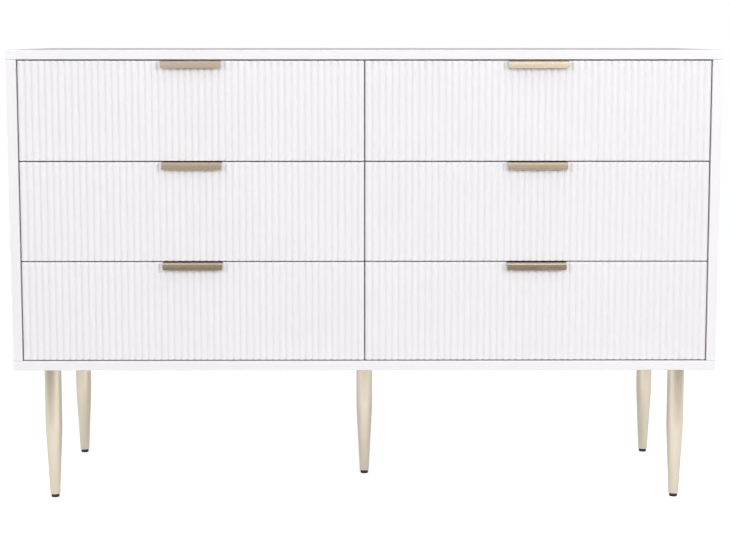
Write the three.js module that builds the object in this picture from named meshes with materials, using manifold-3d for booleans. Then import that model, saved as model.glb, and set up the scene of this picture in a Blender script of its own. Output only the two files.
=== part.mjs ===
// Six-drawer dresser: two columns of inset drawers with reeded fronts, on five tapered metal legs.
// Millimetres, +Z up, +X to the right of someone facing the drawers, which open towards -Y.
// The origin is on the floor, in the middle of the whole object's footprint.
import * as THREE from "three";
import { mergeVertices } from "three/addons/utils/BufferGeometryUtils.js";
import Module from "manifold-3d";

const wasm = await Module();
wasm.setup();

// Overall sizes.
const overallWidth = 1200;
const carcassDepth = 400;
const overallHeight = 780;
const legHeight = 235;

// Boards of the carcass.
const boardThickness = 16;
const seatGap = 0.3; // between pieces that rest on each other
const backThickness = 3;
const backInset = 8; // from the rear edges to the back panels
const backGroove = 6; // depth of the grooves that hold the back panels
const joinerWidth = 18;
const joinerSkin = 1.2;
const joinerWeb = 1.6;

// Drawer fronts.
const rowNames = ["bottom", "middle", "top"];
const revealGap = 2; // the gap seen around every front
const frontThickness = 18;
const frontRecess = 1; // reed crests behind the carcass's front edges
const frontToDivider = 2;
const reedPitch = 11.2; // nearest pitch, the front holds whole reeds
const reedDepth = 3;
const shoulderWidth = 0.2; // share of a reed taken by each rounded shoulder
const shoulderDrop = 0.3; // share of the reed depth lost at the shoulder

// Edge pulls, bent from one strip over the top edge of each front.
const pullLength = 101;
const pullSheet = 1.5;
const pullReach = 9; // lip face in front of the reed crests
const lipHeight = 12.5;
const lipBend = 4;
const backBend = 2;
const lipCorner = 3;
const backPlateHeight = 22;

// Drawer boxes and their ball-bearing runners.
const boxLift = 14; // box above the front's lower edge
const boxDrop = 44; // box below the front's upper edge
const boxWall = 12;
const boxFloor = 4;
const floorLift = 8;
const floorGroove = 6;
const runnerSpace = 13; // between the box and the carcass, each side
const runnerStep = 50; // runners are sold in steps of this length
const runnerSetback = 3;
const runnerRearRoom = 10;
const runnerSteel = 1.2;
const cabinetRunnerHeight = 35;
const cabinetLip = 2.5;
const cabinetFlangeRoom = 2.8; // from the cabinet runner's lips to the drawer runner's web face
const drawerFlangeRoom = 3.4; // from the drawer runner's flanges to the cabinet runner's back
const ballRoom = 4.3; // between the two runners' flanges

// Legs and glides.
const legInsetX = 58; // leg axis from the carcass's side
const legInsetY = 50; // leg axis from the carcass's front and rear
const legRadius = 14.5;
const footRadius = 8.5;
const straightLength = 98; // before the taper
const taperEase = 24; // length over which the taper sets in
const legWall = 1.5;
const legPlug = 8; // solid end that carries the stud
const footRing = 2.5; // rolled-in end around the glide's stem
const studRadius = 4;
const studClearance = 0.4;
const studCover = 3; // board left above the stud's hole
const glideHeight = 6;
const glideRadius = 7;
const glideChamfer = 1;
const glideStemRadius = 3.5;
const glideStemLength = 10;
const roundSegments = 16;

// Places that follow from the sizes above, with the carcass's middle at x 0 and y 0.
const frontEdge = -carcassDepth / 2;
const rearEdge = carcassDepth / 2;
const openingHalf = overallWidth / 2 - boardThickness;
const openingBottom = legHeight + boardThickness;
const openingHeight = overallHeight - boardThickness - openingBottom;
const openingMiddle = openingBottom + openingHeight / 2;
const crestY = frontEdge + frontRecess;
const frontBackY = crestY + frontThickness;
const backPanelY = rearEdge - backInset - backThickness / 2;
const backPanelFaceY = backPanelY - backThickness / 2;
const rows = rowNames.length;
const frontWidth = (2 * openingHalf - 3 * revealGap) / 2;
const frontHeight = (openingHeight - (rows + 1) * revealGap) / rows;
const rowPitch = frontHeight + revealGap;
const frontCentreX = (revealGap + frontWidth) / 2;
const columnWidth = openingHalf - boardThickness / 2;
const columnCentreX = boardThickness / 2 + columnWidth / 2;
const boxWidth = columnWidth - 2 * runnerSpace;
const boxHeight = frontHeight - boxLift - boxDrop;
const runnerRoom = backPanelFaceY - runnerRearRoom - frontBackY - runnerSetback;
const runnerLength = Math.floor(runnerRoom / runnerStep) * runnerStep;
const runnerThickness = runnerSpace - 2 * seatGap;
const cabinetFlange = runnerThickness - cabinetFlangeRoom;
const drawerFlange = runnerThickness - drawerFlangeRoom;
const drawerRunnerHeight = cabinetRunnerHeight - 2 * (runnerSteel + ballRoom);
const studLength = boardThickness - studCover - 2 * seatGap;

const X = new THREE.Vector3(1, 0, 0);
const Y = new THREE.Vector3(0, 1, 0);
const Z = new THREE.Vector3(0, 0, 1);

const finish = (color, roughness, metalness) =>
  new THREE.MeshStandardMaterial({ color, roughness, metalness });
const whiteLacquer = finish(0xf0eef2, 0.35, 0);
const whiteMelamine = finish(0xe9e8e6, 0.55, 0);
const whiteBackBoard = finish(0xe2e0dc, 0.7, 0);
const whitePlastic = finish(0xe8e8e8, 0.5, 0);
const champagnePull = finish(0xb59f80, 0.38, 1);
const champagneLeg = finish(0xd9cbb0, 0.35, 1);
const blackPlastic = finish(0x151515, 0.6, 0);
const zincSteel = finish(0xb8bcc0, 0.4, 1);

function place(group, name, geometry, material, x, y, z) {
  const mesh = new THREE.Mesh(geometry, material);
  mesh.name = name;
  mesh.position.set(x, y, z);
  group.add(mesh);
}

function boxAt(sizeX, sizeY, sizeZ, x = 0, y = 0, z = 0) {
  return new THREE.BoxGeometry(sizeX, sizeY, sizeZ).translate(x, y, z);
}

function extrudeUp(shape, height) {
  return new THREE.ExtrudeGeometry(shape, { depth: height, bevelEnabled: false });
}

// The shape's x and y become X and Z, and the solid is centred on y 0.
function extrudeAlongY(shape, length, curveSegments = 6) {
  const settings = { depth: length, bevelEnabled: false, curveSegments };
  const turned = new THREE.Matrix4().makeBasis(X, Z, Y.clone().negate());
  return new THREE.ExtrudeGeometry(shape, settings)
    .applyMatrix4(turned)
    .translate(0, length / 2, 0);
}

// The shape's x and y become Y and Z, and the solid is centred on x 0.
function extrudeAlongX(shape, length, curveSegments = 6) {
  const settings = { depth: length, bevelEnabled: false, curveSegments };
  const turned = new THREE.Matrix4().makeBasis(Y, Z, X);
  return new THREE.ExtrudeGeometry(shape, settings)
    .applyMatrix4(turned)
    .translate(-length / 2, 0, 0);
}

function outline(points) {
  return new THREE.Shape(points.map(([u, v]) => new THREE.Vector2(u, v)));
}

// Turns [radius, height] pairs about Z.
function turnedSolid(profile) {
  const points = profile.map(([radius, height]) => new THREE.Vector2(radius, height));
  return new THREE.LatheGeometry(points, roundSegments).rotateX(Math.PI / 2);
}

function toSolid(geometry) {
  const bare = geometry.clone();
  bare.deleteAttribute("normal");
  bare.deleteAttribute("uv");
  const merged = mergeVertices(bare, 1e-4);
  const vertProperties = merged.attributes.position.array;
  const triVerts = new Uint32Array(merged.index.array);
  return new wasm.Manifold(new wasm.Mesh({ numProp: 3, vertProperties, triVerts }));
}

function toGeometry(solid) {
  const mesh = solid.getMesh();
  const geometry = new THREE.BufferGeometry();
  geometry.setAttribute("position", new THREE.BufferAttribute(mesh.vertProperties, 3));
  geometry.setIndex(new THREE.BufferAttribute(mesh.triVerts, 1));
  geometry.computeVertexNormals();
  return geometry;
}

function cut(geometry, cutters) {
  const start = toSolid(geometry);
  return toGeometry(cutters.reduce((left, tool) => left.subtract(toSolid(tool)), start));
}

function join(geometries) {
  const [first, ...others] = geometries.map(toSolid);
  return toGeometry(others.reduce((sum, next) => sum.add(next), first));
}

// The top or bottom board, with a stopped groove for the back panels. inward is +1 for the bottom.
function endBoard(inward) {
  const grooveLength = 2 * (openingHalf + backGroove);
  const grooveWidth = backThickness + 2 * seatGap;
  const innerFace = (inward * boardThickness) / 2;
  const groove = boxAt(grooveLength, grooveWidth, 2 * backGroove, 0, backPanelY, innerFace);
  return cut(boxAt(overallWidth, carcassDepth, boardThickness), [groove]);
}

function legPlaces() {
  const x = overallWidth / 2 - legInsetX;
  const y = carcassDepth / 2 - legInsetY;
  return {
    front_left: [-x, -y],
    front_right: [x, -y],
    rear_left: [-x, y],
    rear_right: [x, y],
    centre: [0, 0],
  };
}

function bottomBoard() {
  const depth = studLength + 2 * seatGap;
  const radius = studRadius + studClearance;
  const holes = Object.values(legPlaces()).map(([x, y]) =>
    new THREE.CylinderGeometry(radius, radius, 2 * depth, roundSegments)
      .rotateX(Math.PI / 2)
      .translate(x, y, -boardThickness / 2),
  );
  return cut(endBoard(1), holes);
}

// A side board. inward is +1 for the left side, whose inner face looks along +X.
function sideBoard(inward) {
  const height = openingHeight - 2 * seatGap;
  const grooveWidth = backThickness + 2 * seatGap;
  const innerFace = (inward * boardThickness) / 2;
  const groove = boxAt(2 * backGroove, grooveWidth, 2 * height, innerFace, backPanelY, 0);
  return cut(boxAt(boardThickness, carcassDepth, height), [groove]);
}

// H-section strip that holds the two back panels' meeting edges.
function joinerGeometry() {
  const half = joinerWidth / 2;
  const web = joinerWeb / 2;
  const slot = backThickness / 2 + seatGap;
  const skin = slot + joinerSkin;
  const right = [
    [half, -skin],
    [half, -slot],
    [web, -slot],
    [web, slot],
    [half, slot],
    [half, skin],
  ];
  const left = right.map(([u, v]) => [-u, -v]);
  return extrudeUp(outline([...right, ...left]), openingHeight - 2 * seatGap);
}

function addCarcass(group) {
  const sideX = (overallWidth - boardThickness) / 2;
  const topZ = overallHeight - boardThickness / 2;
  const bottomZ = legHeight + boardThickness / 2;
  place(group, "top_panel", endBoard(-1), whiteLacquer, 0, 0, topZ);
  place(group, "bottom_panel", bottomBoard(), whiteLacquer, 0, 0, bottomZ);
  place(group, "left_side_panel", sideBoard(1), whiteLacquer, -sideX, 0, openingMiddle);
  place(group, "right_side_panel", sideBoard(-1), whiteLacquer, sideX, 0, openingMiddle);

  const joinerFaceY = backPanelFaceY - seatGap - joinerSkin;
  const dividerFront = frontBackY + frontToDivider;
  const dividerDepth = joinerFaceY - seatGap - dividerFront;
  const divider = boxAt(boardThickness, dividerDepth, openingHeight - 2 * seatGap);
  const dividerY = dividerFront + dividerDepth / 2;
  place(group, "centre_divider", divider, whiteMelamine, 0, dividerY, openingMiddle);

  const panelInner = joinerWeb / 2 + seatGap;
  const panelWidth = openingHalf + backGroove - seatGap - panelInner;
  const panelHeight = openingHeight + 2 * (backGroove - seatGap);
  const panelX = panelInner + panelWidth / 2;
  for (const [side, sign] of Object.entries({ left: -1, right: 1 })) {
    const panel = boxAt(panelWidth, backThickness, panelHeight);
    const name = `back_panel_${side}`;
    place(group, name, panel, whiteBackBoard, sign * panelX, backPanelY, openingMiddle);
  }
  const joinerZ = openingBottom + seatGap;
  place(group, "back_joiner", joinerGeometry(), whitePlastic, 0, backPanelY, joinerZ);
}

// One leg, a tapered tube with its stud upwards. z 0 is at the face that meets the bottom board.
function legGeometry() {
  const footZ = -(legHeight - glideHeight);
  const boreRadius = glideStemRadius + studClearance;
  const taper = (legRadius - footRadius) / (-footZ - straightLength - taperEase / 2);
  const eased = (radius) =>
    [0, 0.5, 1].map((t) => [
      radius - (taper * taperEase * t * t) / 2,
      -straightLength - taperEase * t,
    ]);
  return turnedSolid([
    [0, -legPlug],
    [legRadius - legWall, -legPlug],
    ...eased(legRadius - legWall),
    [footRadius - legWall, footZ + footRing],
    [boreRadius, footZ + footRing],
    [boreRadius, footZ],
    [footRadius, footZ],
    ...eased(legRadius).reverse(),
    [legRadius, -seatGap],
    [studRadius, -seatGap],
    [studRadius, studLength],
    [0, studLength],
  ]);
}

// One glide, standing on z 0, with a stem that enters the leg.
function glideGeometry() {
  const topZ = glideHeight - seatGap;
  return turnedSolid([
    [0, 0],
    [glideRadius - glideChamfer, 0],
    [glideRadius, glideChamfer],
    [glideRadius, topZ],
    [glideStemRadius, topZ],
    [glideStemRadius, glideHeight + glideStemLength - seatGap],
    [0, glideHeight + glideStemLength - seatGap],
  ]);
}

function addLegs(group) {
  for (const [name, [x, y]] of Object.entries(legPlaces())) {
    place(group, `leg_${name}`, legGeometry(), champagneLeg, x, y, legHeight);
    place(group, `glide_${name}`, glideGeometry(), blackPlastic, x, y, 0);
  }
}

// A front seen from above: flat back, convex reeds with narrow valleys between them. Crests lie on y 0.
function frontGeometry() {
  const reeds = Math.round(frontWidth / reedPitch);
  const pitch = frontWidth / reeds;
  const points = [];
  for (let reed = 0; reed < reeds; reed += 1) {
    const start = -frontWidth / 2 + reed * pitch;
    points.push([start, reedDepth]);
    points.push([start + shoulderWidth * pitch, shoulderDrop * reedDepth]);
    points.push([start + pitch / 2, 0]);
    points.push([start + (1 - shoulderWidth) * pitch, shoulderDrop * reedDepth]);
  }
  points.push([frontWidth / 2, reedDepth]);
  points.push([frontWidth / 2, frontThickness]);
  points.push([-frontWidth / 2, frontThickness]);
  const board = extrudeUp(outline(points), frontHeight);
  const notchDepth = pullSheet + seatGap;
  const notchLength = pullLength + 2 * seatGap;
  const notch = boxAt(notchLength, 3 * frontThickness, 2 * notchDepth, 0, 0, frontHeight);
  return cut(board, [notch]);
}

// What a rounded corner takes off the lip. side is +1 for the corner on +X.
function lipCornerCutter(side) {
  const over = 1;
  const edge = (side * pullLength) / 2;
  const shape = new THREE.Shape();
  const startAngle = -Math.PI / 2;
  const endAngle = -Math.PI / 2 + (side * Math.PI) / 2;
  shape.moveTo(edge + side * over, -lipHeight - over);
  shape.lineTo(edge - side * lipCorner, -lipHeight - over);
  shape.lineTo(edge - side * lipCorner, -lipHeight);
  shape.absarc(
    edge - side * lipCorner,
    -lipHeight + lipCorner,
    lipCorner,
    startAngle,
    endAngle,
    side < 0,
  );
  shape.lineTo(edge + side * over, -lipHeight + lipCorner);
  return extrudeAlongY(shape, 4 * pullSheet, 4).translate(0, -pullReach, 0);
}

// The strip's section: lip in front, flange over the front's top edge, plate behind. Top face on z 0.
function pullGeometry() {
  const rear = frontThickness + seatGap + pullSheet;
  const bendY = -pullReach + lipBend;
  const section = new THREE.Shape();
  section.moveTo(-pullReach, -lipHeight);
  section.lineTo(-pullReach, -lipBend);
  section.absarc(bendY, -lipBend, lipBend, Math.PI, Math.PI / 2, true);
  section.lineTo(rear - backBend, 0);
  section.absarc(rear - backBend, -backBend, backBend, Math.PI / 2, 0, true);
  section.lineTo(rear, -backPlateHeight);
  section.lineTo(rear - pullSheet, -backPlateHeight);
  section.lineTo(rear - pullSheet, -pullSheet);
  section.lineTo(bendY, -pullSheet);
  section.absarc(bendY, -lipBend, lipBend - pullSheet, Math.PI / 2, Math.PI, false);
  section.lineTo(-pullReach + pullSheet, -lipHeight);
  const strip = extrudeAlongX(section, pullLength, 4);
  return cut(strip, [lipCornerCutter(-1), lipCornerCutter(1)]);
}

// Two sides, a back and a floor let into them, open at the top and towards the front board.
function drawerBoxGeometry() {
  const sideX = (boxWidth - boxWall) / 2;
  const middleY = runnerLength / 2;
  const middleZ = boxHeight / 2;
  const innerWidth = boxWidth - 2 * boxWall;
  const floorWidth = innerWidth + 2 * floorGroove;
  const floorLength = runnerLength - boxWall + floorGroove;
  const backY = runnerLength - boxWall / 2;
  return join([
    boxAt(boxWall, runnerLength, boxHeight, -sideX, middleY, middleZ),
    boxAt(boxWall, runnerLength, boxHeight, sideX, middleY, middleZ),
    boxAt(innerWidth + boxWall, boxWall, boxHeight, 0, backY, middleZ),
    boxAt(floorWidth, floorLength, boxFloor, 0, floorLength / 2, floorLift + boxFloor / 2),
  ]);
}

// C-section fixed to the carcass, open towards the drawer. side is +1 where the carcass wall is on -X.
function cabinetRunnerGeometry(side) {
  const half = cabinetRunnerHeight / 2;
  const inner = half - runnerSteel;
  const upper = [
    [cabinetFlange - runnerSteel, inner - cabinetLip],
    [cabinetFlange - runnerSteel, inner],
    [runnerSteel, inner],
  ];
  const outer = [
    [0, -half],
    [cabinetFlange, -half],
    [cabinetFlange, -inner + cabinetLip],
    [cabinetFlange - runnerSteel, -inner + cabinetLip],
    [cabinetFlange - runnerSteel, -inner],
    [runnerSteel, -inner],
  ];
  const rest = [...upper].reverse();
  const closing = [
    [cabinetFlange, inner - cabinetLip],
    [cabinetFlange, half],
    [0, half],
  ];
  const points = [...outer, ...rest, ...closing].map(([u, v]) => [side * u, v]);
  return extrudeAlongY(outline(points), runnerLength);
}

// C-section fixed to the drawer box, inside the cabinet's runner and open towards the carcass wall.
function drawerRunnerGeometry(side) {
  const half = drawerRunnerHeight / 2;
  const inner = half - runnerSteel;
  const points = [
    [0, -half],
    [-drawerFlange, -half],
    [-drawerFlange, -inner],
    [-runnerSteel, -inner],
    [-runnerSteel, inner],
    [-drawerFlange, inner],
    [-drawerFlange, half],
    [0, half],
  ].map(([u, v]) => [side * u, v]);
  return extrudeAlongY(outline(points), runnerLength);
}

function addRunnerPairs(group, drawer, columnX, runnerY, runnerZ) {
  for (const [hand, side] of Object.entries({ l: 1, r: -1 })) {
    const wallX = columnX - (side * columnWidth) / 2;
    const cabinetX = wallX + side * seatGap;
    const drawerX = cabinetX + side * runnerThickness;
    const cabinetRunner = cabinetRunnerGeometry(side);
    const drawerRunner = drawerRunnerGeometry(side);
    const cabinetName = `cabinet_runner_${drawer}_${hand}`;
    const drawerName = `drawer_runner_${drawer}_${hand}`;
    place(group, cabinetName, cabinetRunner, zincSteel, cabinetX, runnerY, runnerZ);
    place(group, drawerName, drawerRunner, zincSteel, drawerX, runnerY, runnerZ);
  }
}

function addDrawer(group, row, column, sign) {
  const drawer = `${rowNames[row]}_${column}`;
  const bottomZ = openingBottom + revealGap + row * rowPitch;
  const topZ = bottomZ + frontHeight;
  const boxZ = bottomZ + boxLift;
  const boxY = frontBackY + seatGap;
  const frontX = sign * frontCentreX;
  const columnX = sign * columnCentreX;
  const runnerY = frontBackY + runnerSetback + runnerLength / 2;
  const runnerZ = boxZ + boxHeight / 2;
  place(group, `drawer_front_${drawer}`, frontGeometry(), whiteLacquer, frontX, crestY, bottomZ);
  place(group, `pull_${drawer}`, pullGeometry(), champagnePull, frontX, crestY, topZ);
  place(group, `drawer_box_${drawer}`, drawerBoxGeometry(), whiteMelamine, columnX, boxY, boxZ);
  addRunnerPairs(group, drawer, columnX, runnerY, runnerZ);
}

const dresser = new THREE.Group();
dresser.position.y = (pullReach - frontRecess) / 2;
addCarcass(dresser);
addLegs(dresser);
for (const row of rowNames.keys()) {
  addDrawer(dresser, row, "left", -1);
  addDrawer(dresser, row, "right", 1);
}

export default dresser;
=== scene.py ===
import math
import bmesh
import bpy
from mathutils import Matrix, Vector


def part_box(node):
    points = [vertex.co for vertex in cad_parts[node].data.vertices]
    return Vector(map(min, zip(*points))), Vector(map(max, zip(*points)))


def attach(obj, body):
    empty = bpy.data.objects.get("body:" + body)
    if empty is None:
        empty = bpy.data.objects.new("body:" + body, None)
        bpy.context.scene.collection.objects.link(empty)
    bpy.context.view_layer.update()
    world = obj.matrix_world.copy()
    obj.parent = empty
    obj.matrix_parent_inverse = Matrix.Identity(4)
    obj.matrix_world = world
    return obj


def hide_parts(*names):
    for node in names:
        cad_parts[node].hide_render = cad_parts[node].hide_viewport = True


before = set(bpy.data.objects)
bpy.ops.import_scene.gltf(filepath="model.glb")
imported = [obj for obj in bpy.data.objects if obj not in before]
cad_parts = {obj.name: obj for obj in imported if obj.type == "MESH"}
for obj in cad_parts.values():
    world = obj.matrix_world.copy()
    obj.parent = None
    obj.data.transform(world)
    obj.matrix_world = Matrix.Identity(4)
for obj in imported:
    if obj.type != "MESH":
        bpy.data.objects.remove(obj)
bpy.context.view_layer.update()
scene = bpy.context.scene
rowNames = ["bottom", "middle", "top"]
columnNames = ["left", "right"]
drawerNames = [f"{row}_{column}" for row in rowNames for column in columnNames]
legNames = ["front_left", "front_right", "rear_left", "rear_right", "centre"]
print("frame loaded with", len(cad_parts), "nodes")


# node helpers

# Sets a node's inputs by name or number. A socket is linked, and anything else is its plain value.
def fill(tree, node, inputs):
    for key, source in inputs.items():
        if isinstance(source, bpy.types.NodeSocket):
            tree.links.new(source, node.inputs[key])
        else:
            node.inputs[key].default_value = source


def addNode(tree, kind, inputs=None, **settings):
    node = tree.nodes.new(kind)
    for key, value in settings.items():
        setattr(node, key, value)
    fill(tree, node, inputs or {})
    return node


def mapped(tree, value, toLow, toHigh, fromLow=0, fromHigh=1):
    inputs = dict(enumerate((value, fromLow, fromHigh, toLow, toHigh)))
    return addNode(tree, "ShaderNodeMapRange", inputs).outputs[0]


def mixedColour(tree, share, first, second):
    inputs = {0: share, 6: first, 7: second}
    return addNode(tree, "ShaderNodeMix", inputs, data_type="RGBA").outputs[2]


def mixedNumber(tree, share, first, second):
    inputs = {0: share, 2: first, 3: second}
    return addNode(tree, "ShaderNodeMix", inputs, data_type="FLOAT").outputs[0]


def joined(tree, operation, first, second):
    inputs = {0: first, 1: second}
    return addNode(tree, "ShaderNodeMath", inputs, operation=operation).outputs[0]


# camera, light and floor

cameraValues = {
    "place": (-0.0113, -2.842, 0.803),
    "tiltDown": 5.979,  # degrees
    "turn": -0.255,  # degrees about Z
    "lens": 77.67,
    "shiftY": -0.1,
}


def makeCamera(values):
    data = bpy.data.cameras.new("studioCamera")
    data.sensor_width = 36
    data.lens = values["lens"]
    data.shift_y = values["shiftY"]
    camera = bpy.data.objects.new("studioCamera", data)
    camera.location = values["place"]
    pitch = math.radians(90 - values["tiltDown"])
    camera.rotation_euler = (pitch, 0, math.radians(values["turn"]))
    scene.collection.objects.link(camera)
    scene.camera = camera


roomValues = {
    "backdrop": 1.0,  # what the camera sees past the floor
    "front": 0.8,  # brightness of the room on the camera's side
    "behind": 0.84,
    "mirroredFront": 0.88,  # the same two as the metal reflects them
    "mirroredBehind": 0.2,
    "overhead": 0.6,
    "underfoot": 0.11,
    "tint": (0.985, 0.98, 1.0, 1),
    "underTint": (1.0, 0.92, 0.74, 1),
    "turnSpan": (-0.6, 0.6),  # over which the front turns into the back
    "riseSpan": (0.2, 0.9),
    "fallSpan": (0.0, -0.16),
}


def makeRoom(values):
    world = bpy.data.worlds.new("studioRoom")
    scene.world = world
    world.use_nodes = True
    tree = world.node_tree
    tree.nodes.clear()
    where = addNode(tree, "ShaderNodeTexCoord").outputs["Generated"]
    split = addNode(tree, "ShaderNodeSeparateXYZ", {0: where}).outputs
    rays = addNode(tree, "ShaderNodeLightPath").outputs
    levels = []
    for front, behind in (("front", "behind"), ("mirroredFront", "mirroredBehind")):
        ends = values[front], values[behind]
        levels.append(mapped(tree, split["Y"], *ends, *values["turnSpan"]))
    around = mixedNumber(tree, rays["Is Glossy Ray"], *levels)
    rise = mapped(tree, split["Z"], 0, 1, *values["riseSpan"])
    fall = mapped(tree, split["Z"], 0, 1, *values["fallSpan"])
    upper = mixedNumber(tree, rise, around, values["overhead"])
    level = mixedNumber(tree, fall, upper, values["underfoot"])
    tint = mixedColour(tree, fall, values["tint"], values["underTint"])
    lit = addNode(tree, "ShaderNodeBackground", {"Color": tint, "Strength": level})
    white = {"Color": (1, 1, 1, 1), "Strength": values["backdrop"]}
    seen = addNode(tree, "ShaderNodeBackground", white)
    choice = {0: rays["Is Camera Ray"], 1: lit.outputs[0], 2: seen.outputs[0]}
    room = addNode(tree, "ShaderNodeMixShader", choice).outputs[0]
    addNode(tree, "ShaderNodeOutputWorld", {"Surface": room})


lampValues = {
    "leftBox": {"place": (-1.4, -2.1, 1.2), "size": (1.1, 1.2), "power": 18.2},
    "rightBox": {"place": (1.4, -2.2, 1.3), "size": (1.1, 1.2), "power": 26},
    "frontBox": {
        "place": (1.1, -3.6, 1.4),
        "size": (1.4, 1.2),
        "power": 8,
        "mirrored": True,
        "colour": (0.9, 0.96, 1),
    },
    "overheadBox": {"place": (0.2, -0.9, 2.5), "size": (2.4, 0.8), "power": 4.0},
}
lampTarget = (0, 0, 0.45)


def makeLamps(values, target):
    for name, lamp in values.items():
        data = bpy.data.lights.new(name, "AREA")
        data.shape = "RECTANGLE"
        data.size, data.size_y = lamp["size"]
        data.energy = lamp["power"]
        data.color = lamp.get("colour", (1, 1, 1))
        box = bpy.data.objects.new(name, data)
        box.location = lamp["place"]
        aim = Vector(target) - Vector(lamp["place"])
        box.rotation_euler = aim.to_track_quat("-Z", "Y").to_euler()
        box.visible_camera = False
        box.visible_glossy = lamp.get("mirrored", False)
        scene.collection.objects.link(box)


floorValues = {
    "centre": (0, 1.1, 0),
    "radius": 2.6,
    "solidShare": 0.68,  # of the radius, before the floor fades out
    "colour": (0.93, 0.925, 0.93, 1),
    "softColour": (0.42, 0.41, 0.4, 1),  # what lights the dresser from below
    "glow": 0.5,
    "roughness": 0.7,
    "segments": 96,
}


def makeFloor(values):
    bm = bmesh.new()
    segments, radius = values["segments"], values["radius"]
    bmesh.ops.create_circle(bm, cap_ends=True, segments=segments, radius=radius)
    mesh = bpy.data.meshes.new("studioFloor")
    bm.to_mesh(mesh)
    bm.free()
    floor = bpy.data.objects.new("studioFloor", mesh)
    floor.location = values["centre"]
    scene.collection.objects.link(floor)
    material = bpy.data.materials.new("paleFloor")
    material.use_nodes = True
    tree = material.node_tree
    tree.nodes.clear()
    where = addNode(tree, "ShaderNodeTexCoord").outputs["Object"]
    reach = addNode(tree, "ShaderNodeVectorMath", {0: where}, operation="LENGTH").outputs["Value"]
    rim = mapped(tree, reach, 0, 1, radius * values["solidShare"], radius)
    rays = addNode(tree, "ShaderNodeLightPath").outputs
    colour = mixedColour(tree, rays["Is Diffuse Ray"], values["colour"], values["softColour"])
    surface = {"Base Color": colour, "Roughness": values["roughness"]}
    surface["Emission Color"] = (1, 1, 1, 1)
    surface["Emission Strength"] = mapped(tree, rays["Is Camera Ray"], 0, values["glow"])
    paint = addNode(tree, "ShaderNodeBsdfPrincipled", surface).outputs[0]
    clear = addNode(tree, "ShaderNodeBsdfTransparent").outputs[0]
    mix = addNode(tree, "ShaderNodeMixShader", {0: rim, 1: paint, 2: clear}).outputs[0]
    addNode(tree, "ShaderNodeOutputMaterial", {"Surface": mix})
    mesh.materials.append(material)


makeCamera(cameraValues)
scene.view_settings.view_transform = "Standard"
makeRoom(roomValues)
makeLamps(lampValues, lampTarget)
makeFloor(floorValues)
print("camera, room, lamps and floor set")


# mesh helpers

def linkPiece(name, mesh, *materials):
    mesh.name = name
    piece = bpy.data.objects.new(name, mesh)
    scene.collection.objects.link(piece)
    mesh.materials.clear()
    for material in materials:
        mesh.materials.append(material)
    return piece


def meshFrom(bm):
    mesh = bpy.data.meshes.new("raw")
    bmesh.ops.recalc_face_normals(bm, faces=bm.faces[:])
    bm.to_mesh(mesh)
    bm.free()
    return mesh


def shade(mesh, angle=35):
    mesh.shade_smooth()
    mesh.set_sharp_from_angle(angle=math.radians(angle))


def roundEdges(piece, width, steps=2, angle=40):
    bevel = piece.modifiers.new("softEdges", "BEVEL")
    bevel.width = width
    bevel.segments = steps
    bevel.limit_method = "ANGLE"
    bevel.angle_limit = math.radians(angle)


def flattenNormals(piece):  # so that only the rounded edges shade round
    weighted = piece.modifiers.new("flatFaces", "WEIGHTED_NORMAL")
    weighted.keep_sharp = True
    weighted.weight = 100


def addPiece(name, mesh, finishes, body, slot, *nodes, rounding=0, flat=False):
    piece = linkPiece(name, mesh, *finishes)
    if rounding:
        roundEdges(piece, rounding)
    if flat:
        flattenNormals(piece)
    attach(piece, body)
    if nodes:
        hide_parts(*nodes)


def addBoard(name, mesh, finishes, body, slot, node):
    shade(mesh)
    addPiece(name, mesh, finishes, body, slot, node, flat=True)


def movedCopy(mesh, matrix):
    copy = mesh.copy()
    copy.transform(matrix)
    if matrix.determinant() < 0:
        copy.flip_normals()
    return copy


def newBox(low, high):
    bm = bmesh.new()
    bmesh.ops.create_cube(bm, size=1)
    bmesh.ops.scale(bm, vec=high - low, verts=bm.verts)
    bmesh.ops.translate(bm, vec=(low + high) / 2, verts=bm.verts)
    return bm


def boxMesh(low, high):
    return meshFrom(newBox(low, high))


def extruded(outline, lift):  # a flat outline of points pushed along a vector
    bm = bmesh.new()
    face = bm.faces.new([bm.verts.new(point) for point in outline])
    grown = bmesh.ops.extrude_face_region(bm, geom=[face])
    lifted = [item for item in grown["geom"] if isinstance(item, bmesh.types.BMVert)]
    bmesh.ops.translate(bm, vec=lift, verts=lifted)
    return meshFrom(bm)


# Turns (radius, height) pairs about Z. A radius of 0 closes the end. Heights in worn get "edge" 1.
def turnedMesh(profile, segments, worn=()):
    bm = bmesh.new()
    edge = bm.verts.layers.float.new("edge")
    rings = []
    for radius, height in profile:
        ring = []
        for step in range(segments if radius else 1):
            angle = 2 * math.pi * step / segments
            ring.append(bm.verts.new((radius * math.cos(angle), radius * math.sin(angle), height)))
            ring[-1][edge] = 1 if height in worn else 0
        rings.append(ring)
    for lower, upper in zip(rings, rings[1:]):
        for step in range(segments):
            after = step + 1
            around = [lower[step % len(lower)], lower[after % len(lower)]]
            around += [upper[after % len(upper)], upper[step % len(upper)]]
            corners = list(dict.fromkeys(around))
            if len(corners) > 2:
                bm.faces.new(corners)
    return meshFrom(bm)


# Cuts meshes out of a mesh, and gives back the mesh that is left.
def carved(mesh, cutters):
    holder = linkPiece("carving", mesh)
    tools = [linkPiece("carvingTool", cutter) for cutter in cutters]
    for tool in tools:
        cut = holder.modifiers.new("cut", "BOOLEAN")
        cut.operation = "DIFFERENCE"
        cut.solver = "EXACT"
        cut.object = tool
    graph = bpy.context.evaluated_depsgraph_get()
    left = bpy.data.meshes.new_from_object(holder.evaluated_get(graph), depsgraph=graph)
    for used in [holder, *tools]:
        spent = used.data
        bpy.data.objects.remove(used)
        bpy.data.meshes.remove(spent)
    return left


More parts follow.
